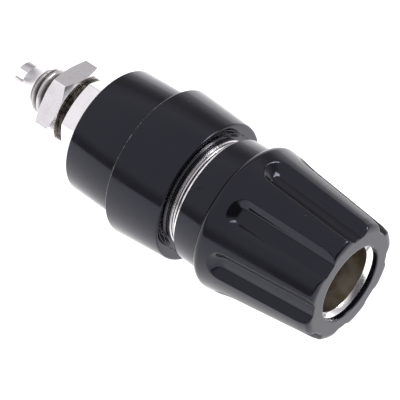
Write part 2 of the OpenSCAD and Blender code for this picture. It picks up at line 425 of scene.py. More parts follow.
class Effects:
    """The shared shader groups: distance mask, turning marks, mottling, specks and scratches."""

    def __init__(self) -> None:
        """Builds each group once."""
        self.inside = self._inside()
        self.marks = self._marks()
        self.mottle = self._mottle()
        self.specks = self._specks()
        self.scratches = self._scratches()

    @staticmethod
    def _ends(graph: Graph) -> tuple[bpy.types.Node, bpy.types.Node]:
        """The group's own input and output nodes."""
        return graph.tree.nodes["Group Input"], graph.tree.nodes["Group Output"]

    def _reach(self, g: Graph, vector: object) -> tuple[bpy.types.Node, bpy.types.NodeSocket]:
        """Splits a position and measures it from the axis.

        Args:
            g: the graph to add to.
            vector: the position's socket.

        Returns:
            The node with the parts, and the distance from the axis, sqrt(y y + z z).
        """
        split = g.add("SeparateXYZ")
        g.put(split.inputs[0], vector)
        square = g.math("ADD", g.math("MULTIPLY", split.outputs[1], split.outputs[1]),
                        g.math("MULTIPLY", split.outputs[2], split.outputs[2]))
        return split, g.math("SQRT", square)

    def _inside(self) -> bpy.types.NodeTree:
        """1 on surfaces closer to the axis than Radius, fading to 0 over Blend outside it.

        Returns:
            The group.
        """
        g = new_group("Inside", {"Vector": None, "Radius": 1.0, "Blend": 0.01}, ["Mask"])
        start, end = self._ends(g)
        reach = self._reach(g, start.outputs["Vector"])[1]
        far = g.math("SUBTRACT", reach, start.outputs["Radius"])
        fade = g.math("DIVIDE", far, start.outputs["Blend"], clamp=True)
        g.put(end.inputs["Mask"], g.math("SUBTRACT", 1.0, fade))
        return g.tree

    def _marks(self) -> bpy.types.NodeTree:
        """Lines left by turning: noise over x and the distance from the axis, alike all round.

        Returns:
            The group.
        """
        g = new_group("TurningMarks", {"Vector": None, "Scale": 6.0}, ["Marks"])
        start, end = self._ends(g)
        split, reach = self._reach(g, start.outputs["Vector"])
        flat = g.add("CombineXYZ")
        g.put(flat.inputs[0], split.outputs[0])
        g.put(flat.inputs[1], reach)
        g.put(end.inputs["Marks"], g.noise(flat.outputs[0], start.outputs["Scale"], 4, 0.7))
        return g.tree

    def _mottle(self) -> bpy.types.NodeTree:
        """Soft patches: noise stretched so that Low becomes 0 and High becomes 1.

        Returns:
            The group.
        """
        g = new_group("Mottle", {"Vector": None, "Scale": 1.0, "Low": 0.4, "High": 0.6}, ["Mask"])
        start, end = self._ends(g)
        value = g.noise(start.outputs["Vector"], start.outputs["Scale"], 4, 0.6)
        g.put(end.inputs["Mask"], g.span(value, start.outputs["Low"], start.outputs["High"], 0, 1))
        return g.tree

    def _specks(self) -> bpy.types.NodeTree:
        """Small spots.

        The mask is 1 where the distance to a random cell's centre is under Size, and only in
        the cells whose own random number is under Share.

        Returns:
            The group.
        """
        g = new_group("Specks", {"Vector": None, "Scale": 1.0, "Size": 0.1, "Share": 0.1}, ["Mask"])
        start, end = self._ends(g)
        cells = g.add("TexVoronoi")
        g.put(cells.inputs["Vector"], start.outputs["Vector"])
        g.put(cells.inputs["Scale"], start.outputs["Scale"])
        near = g.math("LESS_THAN", cells.outputs["Distance"], start.outputs["Size"])
        split = g.add("SeparateColor")
        g.put(split.inputs[0], cells.outputs["Color"])
        few = g.math("LESS_THAN", split.outputs[0], start.outputs["Share"])
        g.put(end.inputs["Mask"], g.math("MULTIPLY", near, few))
        return g.tree

    def _scratches(self) -> bpy.types.NodeTree:
        """Hairlines: the thin zero crossings of a stretched noise, where |noise - 1/2| is small.

        Returns:
            The group.
        """
        g = new_group("Scratches", {"Vector": None, "Scale": 1.0, "Width": 0.004}, ["Mask"])
        start, end = self._ends(g)
        stretch = g.add("Mapping")
        stretch.inputs["Scale"].default_value = (1.0, 0.22, 0.35)
        stretch.inputs["Rotation"].default_value = (0.5, 0.3, 0.8)
        g.put(stretch.inputs["Vector"], start.outputs["Vector"])
        value = g.noise(stretch.outputs[0], start.outputs["Scale"], 0, 0)
        off = g.math("ABSOLUTE", g.math("SUBTRACT", value, 0.5))
        line = g.math("LESS_THAN", off, start.outputs["Width"])
        patch = g.noise(start.outputs["Vector"], g.math("MULTIPLY", start.outputs["Scale"], 0.6), 0, 0)
        g.put(end.inputs["Mask"], g.math("MULTIPLY", line, g.math("GREATER_THAN", patch, 0.55)))
        return g.tree


@dataclass(frozen=True)
class Finish:
    """What every finish shares: a name, a material and its coordinates in mm."""

    name: str

    def begin(self) -> tuple[bpy.types.Material, Graph, bpy.types.Node, bpy.types.NodeSocket]:
        """Starts a material.

        Returns:
            The material, its graph, its Principled shader and its Object coordinates in mm.
        """
        material = bpy.data.materials.new(self.name)
        material.use_nodes = True
        graph = Graph(material.node_tree)
        shader = material.node_tree.nodes["Principled BSDF"]
        place = graph.add("TexCoord")
        scale = graph.add("Mapping")
        scale.inputs["Scale"].default_value = (1 / MM, 1 / MM, 1 / MM)
        graph.put(scale.inputs["Vector"], place.outputs["Object"])
        return material, graph, shader, scale.outputs[0]

    def bump(self, graph: Graph, shader: bpy.types.Node, height: object, depth: float) -> None:
        """Feeds a height to the shader's normal.

        Args:
            graph: the material's graph.
            shader: its Principled shader.
            height: the height's socket, from 0 to 1.
            depth: how deep a height of 1 is, in mm.
        """
        node = graph.add("Bump")
        node.inputs["Strength"].default_value = 1
        node.inputs["Distance"].default_value = depth * MM
        graph.put(node.inputs["Height"], height)
        graph.put(shader.inputs["Normal"], node.outputs[0])


@dataclass(frozen=True)
class MouldedPlastic(Finish):
    """Glossy black moulded plastic with a faint flow in its gloss, hairlines and dust.

    An edge at seam_glint_x, beyond seam_glint_r from the axis, carries a painted highlight, a light line in
    the dust colour broken here and there, and a small dent lies at nick.
    """

    colour: tuple[float, float, float, float] = (0.0022, 0.0022, 0.0040, 1)
    bloom: tuple[float, float, float, float] = (0.0034, 0.0034, 0.0052, 1)
    dust: tuple[float, float, float, float] = (0.55, 0.53, 0.56, 1)
    gloss: tuple[float, float] = (0.07, 0.13)
    grain_depth: float = 0.0010
    # Where the painted highlight on an edge lies: its place along the axis, its half width and its least
    # distance from the axis.
    seam_glint_x: float = 1000.0
    seam_glint_width: float = 0.1
    seam_glint_r: float = 7.64
    nick: tuple[float, float, float] = (0, 0, 0)
    nick_r: float = 0.32
    nick_depth: float = 90.0
    refraction: float = 1.465
    tint: tuple[float, float, float, float] = (0.80, 0.80, 1.0, 1)

    def make(self, effects: Effects) -> bpy.types.Material:
        """Builds the material.

        Args:
            effects: the shared groups.

        Returns:
            The material.
        """
        material, g, shader, at = self.begin()
        patches = g.effect(effects.mottle, Vector=at, Scale=0.45, Low=0.4, High=0.62).outputs[0]
        lines = g.effect(effects.scratches, Vector=at, Scale=0.9, Width=0.0035).outputs[0]
        dust = g.effect(effects.specks, Vector=at, Scale=1.3, Size=0.045, Share=0.12).outputs[0]
        grain = g.noise(at, scale=9, detail=4, rough=0.6)
        colour = g.mix(g.math("MULTIPLY", patches, 0.6), self.colour, self.bloom)
        split = g.add("SeparateXYZ")
        g.put(split.inputs[0], at)
        # Painted highlight: a light line in the dust colour, broken by noise, round one edge outside a given
        # reach from the axis, stands in for the edge's glint.
        off = g.math("ABSOLUTE", g.math("SUBTRACT", split.outputs[0], self.seam_glint_x))
        glint_patches = g.math("GREATER_THAN", g.noise(at, scale=2.6, detail=3, rough=0.7), 0.56)
        within = g.effect(effects.inside, Vector=at, Radius=self.seam_glint_r).outputs[0]
        seam_glint = g.math("MULTIPLY", g.math("LESS_THAN", off, self.seam_glint_width), glint_patches)
        seam_glint = g.math("MULTIPLY", seam_glint, g.math("SUBTRACT", 1.0, within))
        colour = g.mix(g.math("MULTIPLY", seam_glint, 0.5), colour, self.dust)
        away = g.add("VectorMath", operation="DISTANCE")
        g.put(away.inputs[0], at)
        g.put(away.inputs[1], self.nick)
        ragged = g.math("ADD", away.outputs["Value"], g.math("MULTIPLY", g.noise(at, scale=3), 0.25))
        nicked = g.math("LESS_THAN", ragged, self.nick_r)
        g.put(shader.inputs["Base Color"], g.mix(g.math("MULTIPLY", dust, 0.7), colour, self.dust))
        rough = g.math("ADD", g.span(patches, 0, 1, *self.gloss), g.math("MULTIPLY", grain, 0.05))
        rough = g.math("ADD", rough, g.math("MULTIPLY", lines, 0.08))
        rough = g.math("ADD", rough, g.math("MULTIPLY", g.math("MAXIMUM", dust, seam_glint), 0.4))
        g.put(shader.inputs["Roughness"], g.math("ADD", rough, g.math("MULTIPLY", nicked, 0.5)))
        shader.inputs["IOR"].default_value = self.refraction
        shader.inputs["Specular Tint"].default_value = self.tint
        ripple = g.noise(at, scale=0.8, detail=1, rough=0.5)
        height = g.math("ADD", grain, g.math("MULTIPLY", ripple, 3.0))
        height = g.math("SUBTRACT", height, g.math("MULTIPLY", nicked, self.nick_depth))
        self.bump(g, shader, height, self.grain_depth)
        return material


@dataclass(frozen=True)
class Plating(Finish):
    """Nickel plate over turned brass: turning marks, hairlines and a little tarnish.

    Within bore_r of the axis the plate is tan, and towards root_r, ahead of root_x, it is
    darkened as painted shade in the thread roots and the plug socket's bore. A radius of 0 leaves either out.
    """

    colour: tuple[float, float, float, float] = (0.98, 0.955, 0.97, 1)
    tarnish: tuple[float, float, float, float] = (0.55, 0.50, 0.46, 1)
    tarnish_share: float = 0.15
    gloss: tuple[float, float] = (0.2, 0.32)
    marks_scale: float = 7.0
    marks_depth: float = 0.002
    bore_r: float = 0.0
    bore_colour: tuple[float, float, float, float] = (0.30, 0.26, 0.195, 1)
    # Painted shade: a near-black brown laid into the thread roots and bores close to the axis.
    root_r: float = 0.0
    root_x: float = 0.0
    root_shade_colour: tuple[float, float, float, float] = (0.07, 0.055, 0.045, 1)
    root_fade: float = 0.4

    def make(self, effects: Effects) -> bpy.types.Material:
        """Builds the material.

        Args:
            effects: the shared groups.

        Returns:
            The material.
        """
        material, g, shader, at = self.begin()
        marks = g.effect(effects.marks, Vector=at, Scale=self.marks_scale).outputs[0]
        patches = g.effect(effects.mottle, Vector=at, Scale=0.8, Low=0.45, High=0.7).outputs[0]
        pits = g.effect(effects.specks, Vector=at, Scale=2.2, Size=0.1, Share=0.1).outputs[0]
        lines = g.effect(effects.scratches, Vector=at, Scale=1.4, Width=0.004).outputs[0]
        soiled = g.math("MAXIMUM", g.math("MULTIPLY", patches, self.tarnish_share),
                        g.math("MULTIPLY", pits, 0.5))
        colour = g.mix(soiled, self.colour, self.tarnish)
        rough = g.math("ADD", g.span(marks, 0.35, 0.7, *self.gloss), g.math("MULTIPLY", soiled, 0.25))
        if self.bore_r:
            inner = g.effect(effects.inside, Vector=at, Radius=self.bore_r).outputs[0]
            blotch = g.span(g.noise(at, scale=0.55, detail=2, rough=0.5), 0.35, 0.6, 0.72, 1.0)
            colour = g.mix(g.math("MULTIPLY", inner, blotch), colour, self.bore_colour)
            rough = g.math("ADD", rough, g.math("MULTIPLY", inner, 0.15))
        # Painted shade: darkens surfaces near the axis ahead of root_x, that is the thread roots and the plug
        # socket's bore, where shade falls.
        if self.root_r:
            deep = g.effect(effects.inside, Vector=at, Radius=self.root_r,
                            Blend=self.root_fade).outputs[0]
            split = g.add("SeparateXYZ")
            g.put(split.inputs[0], at)
            deep = g.math("MULTIPLY", deep, g.math("GREATER_THAN", split.outputs[0], self.root_x))
            colour = g.mix(g.math("MULTIPLY", deep, 0.85), colour, self.root_shade_colour)
            rough = g.math("ADD", rough, g.math("MULTIPLY", deep, 0.2))
        g.put(shader.inputs["Base Color"], colour)
        shader.inputs["Metallic"].default_value = 1
        g.put(shader.inputs["Roughness"], g.math("ADD", rough, g.math("MULTIPLY", lines, 0.12)))
        height = g.math("SUBTRACT", marks, g.math("MULTIPLY", lines, 0.3))
        self.bump(g, shader, height, self.marks_depth)
        return material


@dataclass(frozen=True)
class OiledSteel(Finish):
    """Dark oiled spring steel with brown stains."""

    colour: tuple[float, float, float, float] = (0.085, 0.074, 0.062, 1)
    stain: tuple[float, float, float, float] = (0.020, 0.015, 0.012, 1)
    relief: float = 0.008

    def make(self, effects: Effects) -> bpy.types.Material:
        """Builds the material.

        Args:
            effects: the shared groups.

        Returns:
            The material.
        """
        material, g, shader, at = self.begin()
        patches = g.effect(effects.mottle, Vector=at, Scale=1.6, Low=0.42, High=0.58).outputs[0]
        marks = g.effect(effects.marks, Vector=at, Scale=9).outputs[0]
        g.put(shader.inputs["Base Color"], g.mix(patches, self.colour, self.stain))
        shader.inputs["Metallic"].default_value = 1
        g.put(shader.inputs["Roughness"], g.span(patches, 0, 1, 0.3, 0.5))
        self.bump(g, shader, g.math("ADD", marks, patches), self.relief)
        return material


@dataclass(frozen=True)
class PaleFloor(Finish):
    """A plain pale floor with an even glow of its own and a faint unevenness in its tone."""

    colour: tuple[float, float, float, float] = (0.20, 0.20, 0.205, 1)
    shade: tuple[float, float, float, float] = (0.18, 0.18, 0.185, 1)
    glow: tuple[float, float, float] = (1.0, 0.995, 1.0)
    glow_strength: float = 1.36

    def make(self, effects: Effects) -> bpy.types.Material:
        """Builds the material.

        Args:
            effects: the shared groups.

        Returns:
            The material.
        """
        material, g, shader, at = self.begin()
        patches = g.effect(effects.mottle, Vector=at, Scale=0.01, Low=0.3, High=0.7).outputs[0]
        g.put(shader.inputs["Base Color"], g.mix(patches, self.colour, self.shade))
        shader.inputs["Roughness"].default_value = 0.8
        shader.inputs["Specular IOR Level"].default_value = 0.1
        shader.inputs["Emission Color"].default_value = (*self.glow, 1)
        shader.inputs["Emission Strength"].default_value = self.glow_strength
        return material


# ---------------------------------------------------------------- the post


@dataclass
class Piece:
    """How a finished mesh joins the part."""

    body: str
    node: str
    slot: Slot
    material: bpy.types.Material

    def dress(self, piece: bpy.types.Object) -> bpy.types.Object:
        """Gives a mesh its material and its body, and hides the CAD node that it stands for.

        Args:
            piece: the finished mesh object.

        Returns:
            The same object.
        """
        piece.data.materials.clear()
        piece.data.materials.append(self.material)
        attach(piece, self.body)
        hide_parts(self.node)
        log.info("%s stands for %s on %s, %d faces", piece.name, self.node, self.body,
                 len(piece.data.polygons))
        return piece


@dataclass
class Stud:
    """The turned stud with its rear thread, clamp flange, shank and plug socket."""

    material: bpy.types.Material
    ring_material: bpy.types.Material
    at: Span = field(default_factory=lambda: Span.of("stud"))
    stop: Span = field(default_factory=lambda: Span.of("stop_ring"))
    flange_x: float = field(default_factory=lambda: Span.of("front_bush").x1)
    flange_t: float = 0.67
    flange_inset: float = 2.1
    groove_depth: float = 0.1
    groove_halves: tuple[float, float] = (0.05, 0.12)
    tail_r: float = 1.5
    tail_len: float = 1.2
    slot_w: float = 0.8
    slot_depth: float = 1.1
    slot_angle: float = math.radians(129)
    cone_len: float = 1.7
    thread_r: float = 2.45
    thread_depth: float = 0.44
    flank_gain: float = 1.35
    root_flat: float = 0.06
    root_round: float = 0.1
    crest_round: float = 0.25
    lead_in: float = 0.8
    lead_round: float = 0.12
    pitch: float = 0.8
    thread_stop: float = -6.2
    body_r: float = 3.5
    body_x: float = 1.2
    boss_r: float = 4.6
    boss_len: float = 3.0
    shank_r: float = 3.2
    neck_r: float = 2.9
    socket_r: float = 2.0
    socket_depth: float = 16.0
    socket_mouth: float = 0.4
    drill_tip: float = 0.8
    drill_flat_r: float = 0.2
    wire_hole_r: float = 1.5
    wire_hole_gap: float = 0.2
    wire_hole_half: float = 5.0
    columns: int = 128
    thread_rows: int = 200
    hole_columns: int = 48

    def thread(self, x: np.ndarray, angle: np.ndarray) -> np.ndarray:
        """Radius of the right-hand thread.

        A wave of sharp roots and rounded crests whose phase is x / pitch - angle / turn, cut
        off at the tail by a cone that grows with lead_in times x.

        Args:
            x: places along the axis, in mm.
            angle: angles round the axis.

        Returns:
            The distance from the axis at every x and angle, in mm.
        """
        phase = (x / self.pitch - angle / (2 * np.pi)) % 1
        wave = np.abs(2 * phase - 1) * self.flank_gain
        wave = soft_min(soft_max(wave, self.root_flat, self.root_round), 1, self.crest_round)
        radius = self.thread_r - self.thread_depth * (1 - wave)
        start = self.at.x0 + self.tail_len + self.cone_len
        cone = self.thread_r - self.thread_depth + (x - start) * self.lead_in
        return soft_min(radius, cone, self.lead_round)

    def build(self) -> None:
        """Turns the stud, cuts its slot and wire hole, and dresses it."""
        x0, front = self.at.x0, self.at.x1
        tail_x = x0 + self.tail_len
        thread_x = tail_x + self.cone_len
        flange_x1 = self.flange_x + self.flange_t
        root = self.thread_r - self.thread_depth
        flange_r = Span.of("front_bush").r - self.flange_inset
        groove_r = flange_r - self.groove_depth
        rear = fillet([(x0, 0, 0), (x0, self.tail_r, 0.18), (tail_x, self.tail_r, 0.3),
                       (thread_x - 0.02, root - 0.02, 0)], closed=False)
        near, far = self.groove_halves
        middle = (self.flange_x + flange_x1) / 2
        socket_x = front - self.socket_depth
        ahead = fillet([
            (self.thread_stop, self.thread_r, 0), (self.body_x, self.thread_r, 0),
            (self.body_x, self.body_r, 0), (self.flange_x - self.boss_len, self.body_r, 0),
            (self.flange_x - self.boss_len, self.boss_r, 0), (self.flange_x, self.boss_r, 0),
            (self.flange_x, flange_r, 0.06), (middle - far, flange_r, 0.03),
            (middle - near, groove_r, 0.03), (middle + near, groove_r, 0.03),
            (middle + far, flange_r, 0.03),
            (flange_x1, flange_r, 0.14), (flange_x1, self.shank_r, 0.1),
            (self.stop.x0, self.shank_r, 0.05), (self.stop.x0, self.neck_r, 0),
            (front, self.neck_r, 0.06), (front, self.socket_r + self.socket_mouth, 0.03),
            (front - self.socket_mouth, self.socket_r, 0.05), (socket_x, self.socket_r, 0),
            (socket_x - self.drill_tip, self.drill_flat_r, 0), (socket_x - self.drill_tip, 0, 0)],
            closed=False, steps=3)
        angle = np.linspace(0, 2 * np.pi, self.columns, endpoint=False)[None, :]
        x = np.linspace(thread_x, self.thread_stop - 0.05, self.thread_rows)[:, None]
        spiral = ring_points(x, self.thread(x, angle), angle)
        grid = np.concatenate([turned(rear, self.columns), spiral, turned(ahead, self.columns)])
        piece = mesh_of("turned_stud", grid, loop=False)
        reach = 2 * self.tail_r
        carve(piece, box_mesh("slot", (x0 - 1, -reach, -self.slot_w / 2),
                              (x0 + self.slot_depth, reach, self.slot_w / 2), self.slot_angle))
        hole_x = flange_x1 + self.wire_hole_gap + self.wire_hole_r
        half = self.wire_hole_half
        hole = ring_points(np.array([-half, -half, half, half])[:, None],
                           np.array([0, self.wire_hole_r, self.wire_hole_r, 0])[:, None],
                           np.linspace(0, 2 * np.pi, self.hole_columns, endpoint=False)[None, :])
        upright = np.stack([hole_x + hole[..., 1], hole[..., 2], hole[..., 0]], -1)
        carve(piece, mesh_of("hole", upright, loop=False))
        Piece("post", "stud", Slot.NICKEL, self.material).dress(piece)
        ring = fillet([(self.stop.x0, self.neck_r + 0.005, 0), (self.stop.x0, self.stop.r, 0.15),
                       (self.stop.x1, self.stop.r, 0.15), (self.stop.x1, self.neck_r + 0.005, 0.05)])
        piece = mesh_of("stop_ring_turned", turned(ring, self.columns), loop=True)
        Piece("post", "stop_ring", Slot.NICKEL, self.ring_material).dress(piece)


@dataclass
class Bushes:
    """The two black bushes that insulate the stud in the panel hole."""

    material: bpy.types.Material
    front: Span = field(default_factory=lambda: Span.of("front_bush"))
    rear: Span = field(default_factory=lambda: Span.of("rear_bush"))
    front_draft: float = math.radians(4.6)
    rear_draft: float = math.radians(1.1)
    spigot_r: float = 4.5
    spigot_play: float = 0.15
    spigot_room: float = 5.0
    bore_r: float = 2.6
    body_x: float = 1.2
    body_bore_r: float = 3.55
    boss_x: float = 3.15
    boss_bore_r: float = 4.68
    seat: float = 0.01
    seam: float = 0.02
    face_rim: float = 0.95
    recess: float = 0.13
    flange_r: float = 5.7
    edge: float = 0.22
    columns: int = 192

    def build(self) -> None:
        """Turns both bushes from outlines with rounded edges."""
        x1, r = self.front.x1, self.front.r
        r_front = r - x1 * math.tan(self.front_draft)
        rim = r_front - self.face_rim
        outline = fillet([
            (self.front.x0, self.bore_r, 0), (self.front.x0, self.spigot_r, 0.1),
            (self.seam, self.spigot_r, 0), (self.seam, r, self.edge), (x1, r_front, self.edge),
            (x1, rim, 0.06), (x1 - self.recess, rim - self.recess, 0.08),
            (x1 - self.recess, self.flange_r + 0.2, 0.05), (x1 - self.seat, self.flange_r - 0.1, 0),
            (x1 - self.seat, self.boss_bore_r, 0), (self.boss_x, self.boss_bore_r, 0),
            (self.boss_x, self.body_bore_r, 0), (self.body_x, self.body_bore_r, 0),
            (self.body_x, self.bore_r, 0)])
        piece = mesh_of("bush_front", turned(outline, self.columns), loop=True)
        Piece("post", "front_bush", Slot.PLASTIC, self.material).dress(piece)
        x0, r = self.rear.x0, self.rear.r
        r_rear = r + x0 * math.tan(self.rear_draft)
        room_r = self.spigot_r + self.spigot_play
        outline = fillet([
            (x0, self.bore_r, 0), (x0, r_rear, self.edge), (-self.seam, r, 0.12),
            (-self.seam, room_r, 0), (-self.spigot_room, room_r, 0), (-self.spigot_room, self.bore_r, 0)])
        piece = mesh_of("bush_rear", turned(outline, self.columns), loop=True)
        Piece("post", "rear_bush", Slot.PLASTIC, self.material).dress(piece)


@dataclass
class RearHardware:
    """The washers and hexagon nuts behind the panel."""

    plain: bpy.types.Material
    nut: bpy.types.Material
    steel: bpy.types.Material
    flats: float = 8.0
    bore_r: float = 2.5
    bore_lip: float = 0.32
    face_inset: float = 0.05
    plain_bore_r: float = 2.6
    plain_edge: float = 0.15
    lock_bore_r: float = 2.51
    lock_edge: float = 0.12
    split_half: float = 0.25
    split_reach: float = 8.0
    seat: float = 0.005
    round_off: float = 0.12
    leans: tuple[float, float] = (math.radians(22), math.radians(34))
    nut_angles: tuple[float, float] = (math.radians(31.6), math.radians(51.5))
    crease: float = 24
    columns: int = 128

    def hexagon(self, angle: np.ndarray, corner: float) -> np.ndarray:
        """Distance from the axis to a hexagon's side.

        It is half the flats / cos of the angle from the side's middle, with the corners eased
        by a soft minimum of the two sides.

        Args:
            angle: angles round the axis.
            corner: the angle of one corner.

        Returns:
            The distance at every angle, in mm.
        """
        turn = (angle - corner) % (np.pi / 3) - np.pi / 6
        half = self.flats / 2
        near = half / np.cos(turn)
        other = half / np.cos(np.pi / 3 - np.abs(turn))
        return soft_min(near, other, self.round_off)

    def nut_grid(self, at: Span, corner: float) -> np.ndarray:
        """A nut chamfered at both faces, slightly at the rear and more at the front.

        Rows run from the bore over the rear face to the chamfer circle, along the cone to
        the hexagon, down the side and back the same way. On a cone of the given lean
        x = (r - face radius) * tan lean.

        Args:
            at: where the nut lies.
            corner: the angle of one corner.

        Returns:
            The grid of points.
        """
        share = np.concatenate([np.linspace(0, 0.8, 13), np.linspace(0.83, 1, 8)])
        half = np.pi / 6 * share
        sector = np.concatenate([-half[::-1], half[1:]]) + np.pi / 6
        angle = (corner + sector[None, :-1] + np.arange(6)[:, None] * np.pi / 3).ravel()[None, :]
        side = self.hexagon(angle, corner)
        face_r = self.flats / 2 - self.face_inset
        lift = np.maximum(side - face_r, 0.0)
        t = np.linspace(0, 1, 9)[:, None]
        lip = self.bore_lip
        bore = np.array([[lip, self.bore_r], [0.04, self.bore_r + lip - 0.04], [0.0, self.bore_r + lip]])
        cone_r = face_r + (side - face_r) * t
        rows = [(np.full_like(angle, x), np.full_like(angle, r)) for x, r in bore]
        rows += [(np.zeros_like(angle), np.full_like(angle, face_r - 0.1))]
        rows += [(lift * s, r[None, :]) for s, r in zip(t[:, 0], cone_r)]
        x = np.concatenate([row[0] for row in rows])
        r = np.concatenate([row[1] for row in rows])
        thick = at.x1 - at.x0
        rear, front = (np.where(r > face_r, x * math.tan(lean), x) for lean in self.leans)
        x = np.concatenate([rear, thick - front[::-1]])
        r = np.concatenate([r, r[::-1]])
        return ring_points(at.x0 + x, r, np.broadcast_to(angle, r.shape))

    def washer(self, name: str, at: Span, bore_r: float, edge: float) -> bpy.types.Object:
        """A flat ring with rounded rims.

        Args:
            name: the object's name.
            at: where the washer lies.
            bore_r: the bore's radius, in mm.
            edge: the outer rims' rounding, in mm.

        Returns:
            The object.
        """
        outline = fillet([(at.x0 + self.seat, bore_r, 0.05), (at.x0 + self.seat, at.r, edge),
                          (at.x1 - self.seat, at.r, edge), (at.x1 - self.seat, bore_r, 0.05)])
        return mesh_of(name, turned(outline, self.columns), loop=True)

    def nut_mesh(self, name: str, node: str, corner: float) -> bpy.types.Object:
        """A nut's object, with the CAD node's place."""
        return mesh_of(name, self.nut_grid(Span.of(node), corner), loop=True, crease=self.crease)

    def build(self) -> None:
        """Makes the washers and nuts from the panel outwards."""
        piece = self.washer("washer_plain", Span.of("plain_washer"), self.plain_bore_r, self.plain_edge)
        Piece("post", "plain_washer", Slot.NICKEL, self.plain).dress(piece)
        piece = self.nut_mesh("nut_mounting", "mounting_nut", self.nut_angles[0])
        Piece("post", "mounting_nut", Slot.NICKEL, self.nut).dress(piece)
        lock = Span.of("lock_washer")
        piece = self.washer("washer_lock", lock, self.lock_bore_r, self.lock_edge)
        carve(piece, box_mesh("split", (lock.x0 - 1, -self.split_half, -self.split_reach),
                              (lock.x1 + 1, self.split_half, 0)))
        Piece("lock_ring", "lock_washer", Slot.STEEL, self.steel).dress(piece)
        piece = self.nut_mesh("nut_terminal", "terminal_nut", self.nut_angles[1])
        Piece("rear_nut", "terminal_nut", Slot.NICKEL, self.nut).dress(piece)


